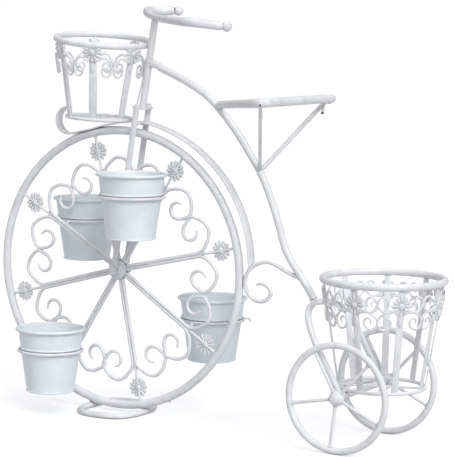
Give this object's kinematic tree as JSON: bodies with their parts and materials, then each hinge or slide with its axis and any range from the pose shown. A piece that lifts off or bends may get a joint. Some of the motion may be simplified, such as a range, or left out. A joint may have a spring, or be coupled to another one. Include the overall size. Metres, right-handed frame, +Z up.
{
  "type": "bicycle planter",
  "caption": "Wrought-iron plant stand shaped like an old tricycle, with scrolled spokes, wire baskets over the front wheel and between the rear wheels, and lift-out pots on rings.",
  "frame": {"origin": "on the floor, under the rear end of the foot loop, in the plane of the front wheel", "axes": "+X towards the rear wheels, +Y towards the far side, +Z up"},
  "size_m": [0.9667, 0.3575, 0.8083],
  "materials": {
    "iron": "white powder coat, satin",
    "tin": "cool white enamelled tin, satin",
    "bolt": "dark weathered steel"
  },
  "bodies": {
    "frame": {"front_rim": "iron", "front_hub": "iron", "hub_bolt": "bolt", "scroll_spoke_1": "iron", "scroll_spoke_2": "iron", "scroll_spoke_3": "iron", "scroll_spoke_4": "iron", "scroll_spoke_5": "iron", "scroll_spoke_6": "iron", "scroll_spoke_7": "iron", "scroll_spoke_8": "iron", "flower_stem_1": "iron", "flower_stem_2": "iron", "flower_stem_3": "iron", "flower_stem_4": "iron", "flower_stem_5": "iron", "flower_stem_6": "iron", "flower_stem_7": "iron", "flower_stem_8": "iron", "foot_loop": "iron", "fork_leg_near": "iron", "fork_leg_far": "iron", "fork_crown": "iron", "fork_bridge": "iron", "stem": "iron", "handlebar": "iron", "bar_knob_near": "iron", "bar_knob_far": "iron", "main_tube": "iron", "mudguard": "iron", "link_scroll": "iron", "seat_frame": "iron", "seat_strut_near": "iron", "seat_strut_far": "iron", "seat_bolt_near": "bolt", "seat_bolt_far": "bolt", "rear_axle": "iron", "axle_cap_near": "iron", "axle_cap_far": "iron", "rear_hoop": "iron", "front_basket_bracket": "iron", "front_basket_cage": "iron", "front_basket_ring": "iron", "front_basket_garland": "iron", "rear_basket_cage": "iron", "rear_basket_ring": "iron", "rear_basket_garland": "iron", "pot_ring_front_high": "iron", "pot_ring_front_low": "iron", "pot_ring_rear_high": "iron", "pot_ring_rear_low": "iron"},
    "rear_wheel_near": {"rear_rim_near": "iron", "rear_spokes_near": "iron"},
    "rear_wheel_far": {"rear_rim_far": "iron", "rear_spokes_far": "iron"},
    "pot_front_high_body": {"pot_front_high": "tin"},
    "pot_front_low_body": {"pot_front_low": "tin"},
    "pot_rear_high_body": {"pot_rear_high": "tin"},
    "pot_rear_low_body": {"pot_rear_low": "tin"}
  },
  "joints": [
    {"name": "rear_wheel_near_spin", "type": "hinge", "parent": "frame", "child": "rear_wheel_near", "pos_m": [0.471, -0.107, 0.103], "axis": [0, 1, 0], "continuous": true},
    {"name": "rear_wheel_far_spin", "type": "hinge", "parent": "frame", "child": "rear_wheel_far", "pos_m": [0.471, 0.107, 0.103], "axis": [0, 1, 0], "continuous": true},
    {"name": "pot_front_high_lift", "type": "slide", "parent": "frame", "child": "pot_front_high_body", "axis": [0, -0.07, 0.9975], "range_m": [0, 0.12]},
    {"name": "pot_front_low_lift", "type": "slide", "parent": "frame", "child": "pot_front_low_body", "axis": [0, -0.07, 0.9975], "range_m": [0, 0.12]},
    {"name": "pot_rear_high_lift", "type": "slide", "parent": "frame", "child": "pot_rear_high_body", "axis": [0, 0.07, 0.9975], "range_m": [0, 0.12]},
    {"name": "pot_rear_low_lift", "type": "slide", "parent": "frame", "child": "pot_rear_low_body", "axis": [0, 0.07, 0.9975], "range_m": [0, 0.12]}
  ]
}
